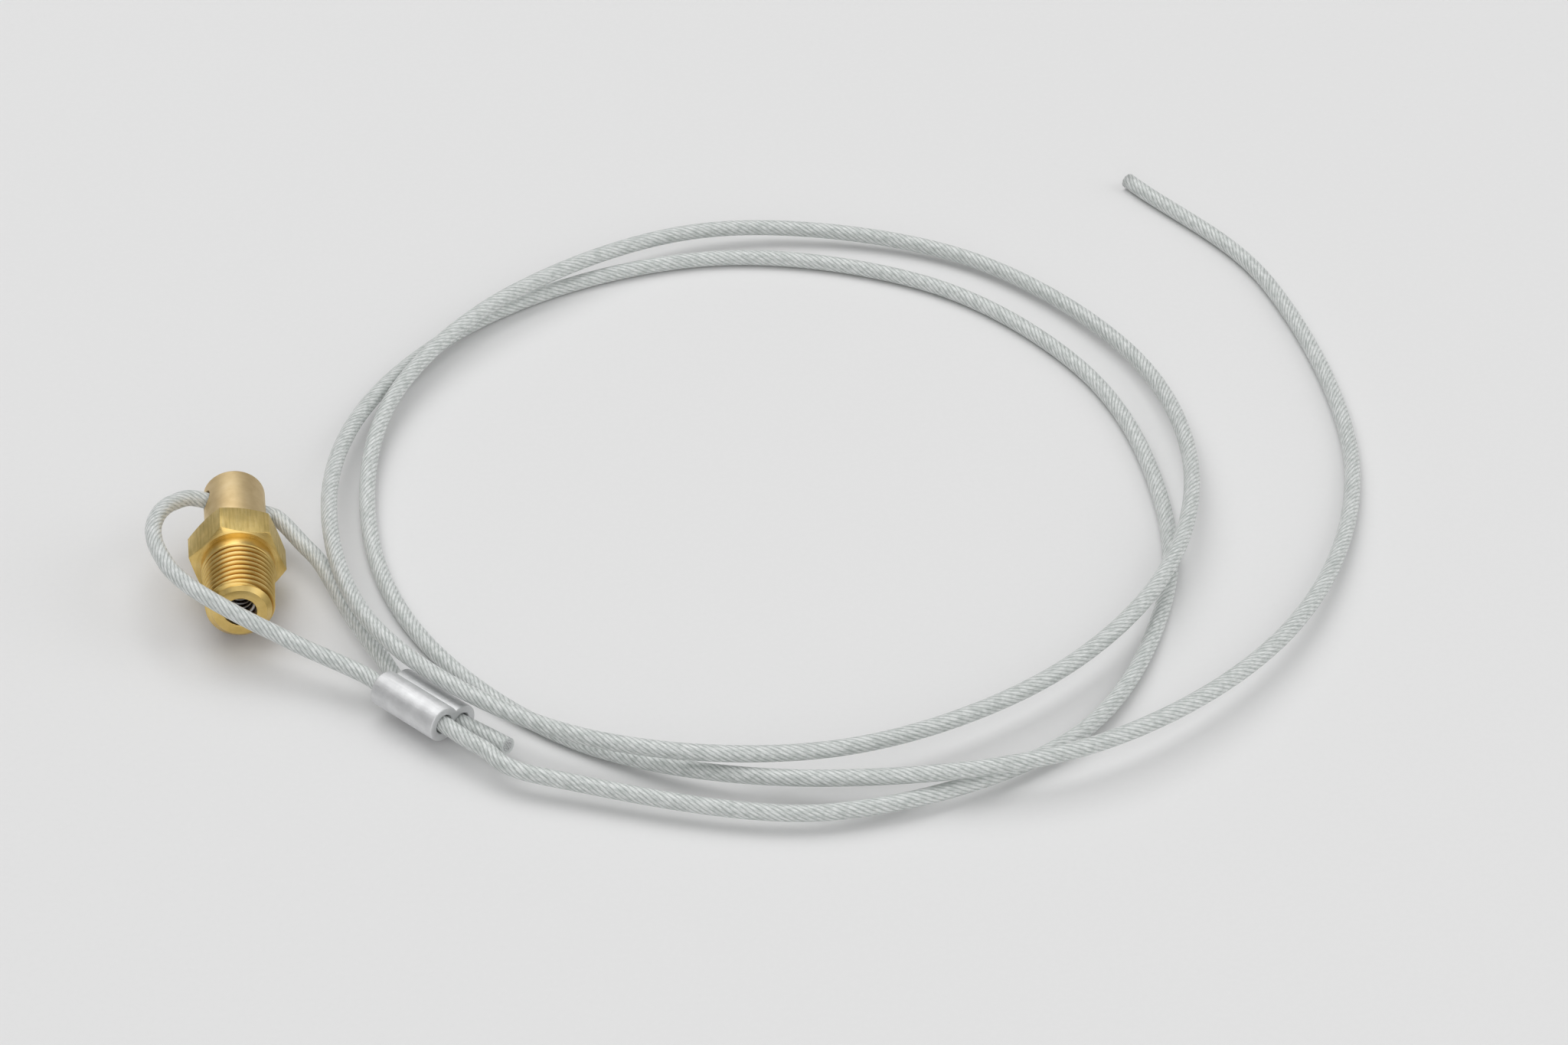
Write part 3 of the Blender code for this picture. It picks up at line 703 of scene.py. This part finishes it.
body_bm = bmesh.new()
cut_thread(body_bm, BODY_STEPS)
bmesh.ops.remove_doubles(body_bm, verts=body_bm.verts, dist=1e-6)
bmesh.ops.dissolve_degenerate(body_bm, edges=body_bm.edges, dist=1e-7)
collar_front = HEX_FRONT - COLLAR_LENGTH
collar_edge = round_corner(
    (COLLAR_RADIUS, HEX_FRONT), (COLLAR_RADIUS, collar_front), (COLLAR_INNER_RADIUS, collar_front),
    COLLAR_EDGE, 5,
)
lathe(
    body_bm,
    [(COLLAR_RADIUS, HEX_FRONT + COLLAR_OVERLAP), *collar_edge, (COLLAR_INNER_RADIUS, collar_front)],
    BODY_STEPS,
)
mouth_edge = round_corner((BORE_RADIUS, GROOVE_LOW), (BORE_RADIUS, 0.0), (NOSE_RADIUS, 0.0), MOUTH_EDGE, 4)
bore_profile = [
    (NOSE_RADIUS, 0.0), *reversed(mouth_edge), (BORE_RADIUS, GROOVE_LOW), (GROOVE_RADIUS, GROOVE_LOW),
    (GROOVE_RADIUS, GROOVE_HIGH), (BORE_RADIUS, GROOVE_HIGH), (BORE_RADIUS, SEAT_PLACE),
    (THROAT_RADIUS, SEAT_PLACE), (THROAT_RADIUS, HEX_BACK),
]
lathe(body_bm, bore_profile, BODY_STEPS)

hex_corner_radius = HEX_ACROSS_FLATS / math.sqrt(3)
hex_bm = bmesh.new()
bmesh.ops.create_cone(
    hex_bm, cap_ends=True, segments=6, radius1=hex_corner_radius, radius2=hex_corner_radius,
    depth=HEX_BACK - HEX_FRONT, matrix=Matrix.Translation((0.0, 0.0, (HEX_FRONT + HEX_BACK) / 2))
    @ Matrix.Rotation(-HEX_ROLL, 4, "Z"),
)
hexagon = object_from(hex_bm, "hexagon")

hex_wide = hex_corner_radius + CUT_PAST
hex_chamfer = (hex_wide - HEX_FACE_RADIUS) * HEX_CHAMFER_SLOPE
chamfer_bm = bmesh.new()
lathe(
    chamfer_bm,
    [
        (0.0, HEX_BACK), (HEX_FACE_RADIUS, HEX_BACK), (hex_wide, HEX_BACK - hex_chamfer),
        (hex_wide, HEX_FRONT + hex_chamfer), (HEX_FACE_RADIUS, HEX_FRONT), (0.0, HEX_FRONT),
    ],
    BODY_STEPS,
)
chamfer_tool = object_from(chamfer_bm, "hexagon_chamfers")
throat_bm = bmesh.new()
lathe(
    throat_bm,
    [
        (0.0, HEX_BACK + CUT_PAST), (THROAT_RADIUS, HEX_BACK + CUT_PAST), (THROAT_RADIUS, SEAT_PLACE),
        (BORE_RADIUS, SEAT_PLACE), (BORE_RADIUS, HEX_FRONT - CUT_PAST), (0.0, HEX_FRONT - CUT_PAST),
    ],
    BODY_STEPS,
)
throat_tool = object_from(throat_bm, "hexagon_throat")
for operation, tool in (("INTERSECT", chamfer_tool), ("DIFFERENCE", throat_tool)):
    cut = hexagon.modifiers.new(tool.name, "BOOLEAN")
    cut.operation = operation
    cut.solver = "EXACT"
    cut.object = tool
soften = hexagon.modifiers.new("edges", "BEVEL")
soften.width = HEX_EDGE
soften.segments = 2
soften.limit_method = "ANGLE"
soften.angle_limit = math.radians(20)
hex_mesh = mesh_from(hexagon)
for tool in (chamfer_tool, throat_tool):
    bpy.data.objects.remove(tool, do_unlink=True)
hex_mesh.shade_smooth()
hex_start = len(body_bm.faces)
body_bm.from_mesh(hex_mesh)
body_bm.faces.ensure_lookup_table()
body_bm.normal_update()
for face in body_bm.faces[hex_start:]:
    large = face.calc_area() > FLAT_FACE_AREA
    tilt = abs(face.normal.z)
    face.material_index = 1 if tilt < FLAT_FACE_TILT and large else 0
    face.smooth = not large or FLAT_FACE_TILT < tilt < END_FACE_TILT


def place_on_valve(tree):
    """How far along the valve's axis a point of the surface lies, and how far from that axis."""
    split = tree.nodes.new("ShaderNodeSeparateXYZ")
    tree.links.new(object_place(tree), split.inputs["Vector"])
    drop = reckon(tree, "SUBTRACT", split.outputs["Z"], AXIS_HEIGHT)
    across = reckon(tree, "MULTIPLY", split.outputs["X"], split.outputs["X"])
    radius = reckon(tree, "SQRT", reckon(tree, "ADD", across, reckon(tree, "MULTIPLY", drop, drop)))
    return split.outputs["Y"], radius


def turning_marks(tree, scale):
    """Fine rings that a tool leaves round the valve's axis, from 0 to 1."""
    along, radius = place_on_valve(tree)
    join = tree.nodes.new("ShaderNodeCombineXYZ")
    tree.links.new(along, join.inputs["X"])
    tree.links.new(radius, join.inputs["Y"])
    return noise(tree, join.outputs["Vector"], scale, 2.0)


turned_brass, turned_tree, turned_shader = start_material("turned_brass")
ring_marks = turning_marks(turned_tree, 9000.0)
brass_cloud = noise(turned_tree, object_place(turned_tree), 260.0, 4.0)
brass_colour = ramp(
    turned_tree, brass_cloud,
    [(0.25, (0.63, 0.43, 0.13)), (0.55, (0.76, 0.55, 0.20)), (0.80, (0.83, 0.64, 0.27))],
)
along_valve, thread_reach = place_on_valve(turned_tree)
thread_run = reckon(turned_tree, "SUBTRACT", along_valve, MOUTH_Y)
crest_reach = reckon(turned_tree, "MULTIPLY_ADD", thread_run, THREAD_TAPER, THREAD_CREST_RADIUS)
groove_drop = reckon(turned_tree, "SUBTRACT", crest_reach, thread_reach)
groove_depth = reckon(turned_tree, "DIVIDE", groove_drop, THREAD_DEPTH)
on_thread = reckon(
    turned_tree, "MULTIPLY", reckon(turned_tree, "GREATER_THAN", thread_run, GROOVE_SHADE_START),
    reckon(turned_tree, "LESS_THAN", thread_run, collar_front),
)
# Painted shade: the thread darkens with depth below its crest line, standing in for the shade in the
# thread's grooves; the crests keep the brass's own colour.
groove_painted_shade = ramp(
    turned_tree, reckon(turned_tree, "MULTIPLY", groove_depth, on_thread),
    [(0.08, (1.0, 1.0, 1.0)), (0.45, (0.60, 0.44, 0.25)), (0.95, (0.22, 0.13, 0.05))],
)
thread_colour_and_groove_shade = blend_colours(turned_tree, "MULTIPLY", 1.0, brass_colour, groove_painted_shade)
turned_tree.links.new(thread_colour_and_groove_shade, turned_shader.inputs["Base Color"])
turned_tree.links.new(greys(turned_tree, ring_marks, 0.26, 0.38), turned_shader.inputs["Roughness"])
turned_tree.links.new(bump(turned_tree, ring_marks, 0.00002, 0.25), turned_shader.inputs["Normal"])
turned_shader.inputs["Metallic"].default_value = 1.0

drawn_brass, drawn_tree, drawn_shader = start_material("drawn_brass")
drawn_place = drawn_tree.nodes.new("ShaderNodeMapping")
drawn_place.inputs["Scale"].default_value = (1.0, 0.06, 1.0)
drawn_tree.links.new(object_place(drawn_tree), drawn_place.inputs["Vector"])
draw_marks = noise(drawn_tree, drawn_place.outputs["Vector"], 2600.0, 5.0, 0.65)
dull_cloud = noise(drawn_tree, object_place(drawn_tree), 330.0, 4.0)
drawn_base = ramp(
    drawn_tree, draw_marks,
    [(0.25, (0.54, 0.40, 0.14)), (0.50, (0.73, 0.555, 0.215)), (0.75, (0.85, 0.68, 0.31))],
)
dull_colour = ramp(drawn_tree, dull_cloud, [(0.35, (0.82, 0.82, 0.78)), (0.65, (1.0, 1.0, 1.0))])
drawn_colour = blend_colours(drawn_tree, "MULTIPLY", 1.0, drawn_base, dull_colour)
drawn_tree.links.new(drawn_colour, drawn_shader.inputs["Base Color"])
drawn_tree.links.new(greys(drawn_tree, draw_marks, 0.56, 0.42), drawn_shader.inputs["Roughness"])
drawn_tree.links.new(bump(drawn_tree, draw_marks, 0.00004, 0.45), drawn_shader.inputs["Normal"])
drawn_shader.inputs["Metallic"].default_value = 1.0

body = object_from(body_bm, "threaded_body")
body.data.transform(VALVE_PLACE)
body.data.materials.append(turned_brass)
body.data.materials.append(drawn_brass)
body.data.set_sharp_from_angle(angle=SHARP_ANGLE)
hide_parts("valve_body")
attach(body, "valve")

# A snap ring of round steel wire sits in a groove just inside the mouth, and the coiled return spring
# is squeezed between it and the poppet's head.
RING_INSET = 0.0033
RING_WIRE_RADIUS = 0.0006
RING_RADIUS = 0.0029
RING_ARC = math.radians(300)
SPRING_WIRE_RADIUS = 0.0003
SPRING_RADIUS = 0.0025
SPRING_TURNS = 7
SPRING_START = 0.0045
SPRING_FINISH = 0.0134
SPRING_WIRE_SIDES = 14
RING_STEPS = 60
SPRING_STEPS_PER_TURN = 28


def wire_tube(name, points, radius, finish):
    """Bent wire through points in the valve's own frame."""
    bm = bmesh.new()
    rings = [ring for length, ring in tube_rings(bm, points, radius, SPRING_WIRE_SIDES)[0]]
    for low, high in zip(rings, rings[1:]):
        skin(bm, low, high, 0, True)
    bm.faces.new(list(reversed(rings[0])))
    bm.faces.new(rings[-1])
    wire = object_from(bm, name)
    wire.data.transform(VALVE_PLACE)
    wire.data.materials.append(finish)
    return wire


spring_steel, spring_tree, spring_shader = start_material("spring_steel")
wire_marks = noise(spring_tree, object_place(spring_tree), 4200.0, 3.0)
spring_colour = ramp(spring_tree, wire_marks, [(0.3, (0.36, 0.36, 0.37)), (0.7, (0.55, 0.55, 0.56))])
spring_tree.links.new(spring_colour, spring_shader.inputs["Base Color"])
spring_tree.links.new(greys(spring_tree, wire_marks, 0.26, 0.40), spring_shader.inputs["Roughness"])
spring_tree.links.new(bump(spring_tree, wire_marks, 0.00002, 0.5), spring_shader.inputs["Normal"])
spring_shader.inputs["Metallic"].default_value = 1.0

ring_points = []
for step in range(RING_STEPS + 1):
    ring_angle = RING_ARC * step / RING_STEPS
    ring_x = RING_RADIUS * math.cos(ring_angle)
    ring_y = RING_RADIUS * math.sin(ring_angle)
    ring_points.append(Vector((ring_x, ring_y, RING_INSET)))
snap_ring = wire_tube("snap_ring", ring_points, RING_WIRE_RADIUS, spring_steel)
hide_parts("retaining_ring")
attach(snap_ring, "valve")

spring_points = []
spring_count = SPRING_TURNS * SPRING_STEPS_PER_TURN
for step in range(spring_count + 1):
    spring_share = step / spring_count
    spring_angle = spring_share * SPRING_TURNS * math.tau
    spring_height = SPRING_START + spring_share * (SPRING_FINISH - SPRING_START)
    spring_x = SPRING_RADIUS * math.cos(spring_angle)
    spring_y = SPRING_RADIUS * math.sin(spring_angle)
    spring_points.append(Vector((spring_x, spring_y, spring_height)))
spring = wire_tube("spring", spring_points, SPRING_WIRE_RADIUS, spring_steel)
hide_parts("return_spring")
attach(spring, "valve")

# The poppet is a headed steel stem. Its head sits in the bore behind a rubber washer, coned a little
# where it seals on the seat, and its shank comes out through the throat and is fixed in the post.
STEM_RADIUS = 0.0013
STEM_TOP = 0.0297
HEAD_RADIUS = 0.0025
HEAD_LOW = 0.0140
HEAD_HIGH = 0.0154
HEAD_BACK_EDGE = 0.0002
HEAD_FRONT_EDGE = 0.0003
SEAL_RADIUS = 0.0027
SEAL_HOLE = 0.0016
SEAL_LOW = 0.0157
SEAL_HIGH = 0.0167
SEAL_FLAT_RADIUS = 0.0020
SEAL_EDGE = 0.0165
POPPET_STEPS = 48


def turned_piece(name, profile, finish):
    """Turned piece in the valve's own frame, brought to where the valve lies."""
    bm = bmesh.new()
    lathe(bm, profile, POPPET_STEPS)
    made = object_from(bm, name)
    made.data.transform(VALVE_PLACE)
    made.data.materials.append(finish)
    made.data.set_sharp_from_angle(angle=SHARP_ANGLE)
    return made


head_back = (HEAD_RADIUS, HEAD_HIGH)
head_front = (HEAD_RADIUS, HEAD_LOW)
head_top = round_corner((STEM_RADIUS, HEAD_HIGH), head_back, head_front, HEAD_BACK_EDGE, 3)
head_foot = round_corner(head_back, head_front, (0.0, HEAD_LOW), HEAD_FRONT_EDGE, 3)
stem = turned_piece(
    "poppet",
    [
        (0.0, STEM_TOP), (STEM_RADIUS, STEM_TOP), (STEM_RADIUS, HEAD_HIGH), *head_top, *head_foot,
        (0.0, HEAD_LOW),
    ],
    spring_steel,
)
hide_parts("valve_stem")
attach(stem, "post")

black_rubber, rubber_tree, rubber_shader = start_material("black_rubber")
rubber_grain = noise(rubber_tree, object_place(rubber_tree), 6000.0, 3.0)
rubber_tree.links.new(greys(rubber_tree, rubber_grain, 0.018, 0.045), rubber_shader.inputs["Base Color"])
rubber_tree.links.new(bump(rubber_tree, rubber_grain, 0.00002, 0.5), rubber_shader.inputs["Normal"])
rubber_shader.inputs["Roughness"].default_value = 0.75
seal = turned_piece(
    "seal_washer",
    [
        (SEAL_HOLE, SEAL_HIGH), (SEAL_FLAT_RADIUS, SEAL_HIGH), (SEAL_RADIUS, SEAL_EDGE),
        (SEAL_RADIUS, SEAL_LOW), (SEAL_HOLE, SEAL_LOW), (SEAL_HOLE, SEAL_HIGH),
    ],
    black_rubber,
)
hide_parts("seat_seal")
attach(seal, "post")

# The pull post is turned from round brass bar with its edges just broken. It is pressed on the stem and
# cross-drilled near its outer end for the rope, and its skin is duller and pinker than the body's.
POST_NEAR = 0.0237
POST_FAR = 0.0384
POST_EDGE = 0.0005
POST_GRIP_RADIUS = 0.0016
POST_GRIP_END = 0.0300
CROSS_HOLE_RADIUS = 0.0020
DRILL_LENGTH = 0.03
DRILL_SIDES = 48
post_top = round_corner((0.0, POST_FAR), (POST_RADIUS, POST_FAR), (POST_RADIUS, POST_NEAR), POST_EDGE, 4)
post_foot = round_corner((POST_RADIUS, POST_FAR), (POST_RADIUS, POST_NEAR), (0.0, POST_NEAR), POST_EDGE, 4)
post_bm = bmesh.new()
lathe(
    post_bm,
    [
        (0.0, POST_FAR), *post_top, *post_foot, (POST_GRIP_RADIUS, POST_NEAR),
        (POST_GRIP_RADIUS, POST_GRIP_END), (0.0, POST_GRIP_END),
    ],
    BODY_STEPS,
)
post_blank = object_from(post_bm, "post_blank")
post_blank.matrix_world = VALVE_PLACE
drill_bm = bmesh.new()
bmesh.ops.create_cone(
    drill_bm, cap_ends=True, segments=DRILL_SIDES, radius1=CROSS_HOLE_RADIUS, radius2=CROSS_HOLE_RADIUS,
    depth=DRILL_LENGTH,
)
drill = object_from(drill_bm, "cross_drill")
drill.location = CROSS_HOLE_MIDDLE
drill.rotation_euler = (cross_hole_point(1.0) - CROSS_HOLE_MIDDLE).to_track_quat("Z", "Y").to_euler()
drilling = post_blank.modifiers.new("cross_hole", "BOOLEAN")
drilling.operation = "DIFFERENCE"
drilling.solver = "EXACT"
drilling.object = drill
post_mesh = mesh_from(post_blank)
bpy.data.objects.remove(drill, do_unlink=True)
post_mesh.transform(VALVE_PLACE)
post_mesh.shade_smooth()
post_mesh.set_sharp_from_angle(angle=SHARP_ANGLE)

satin_brass, satin_tree, satin_shader = start_material("satin_brass")
satin_marks = turning_marks(satin_tree, 7000.0)
satin_cloud = noise(satin_tree, object_place(satin_tree), 300.0, 5.0)
satin_colour = ramp(
    satin_tree, satin_cloud,
    [(0.25, (0.65, 0.49, 0.26)), (0.55, (0.75, 0.59, 0.335)), (0.80, (0.81, 0.66, 0.41))],
)
satin_tree.links.new(satin_colour, satin_shader.inputs["Base Color"])
satin_tree.links.new(greys(satin_tree, satin_marks, 0.46, 0.60), satin_shader.inputs["Roughness"])
satin_tree.links.new(bump(satin_tree, satin_marks, 0.00003, 0.5), satin_shader.inputs["Normal"])
satin_shader.inputs["Metallic"].default_value = 1.0
post_mesh.materials.clear()
post_mesh.materials.append(satin_brass)
post = in_scene("tilt_post", post_mesh)
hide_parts("pull_post")
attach(post, "post")
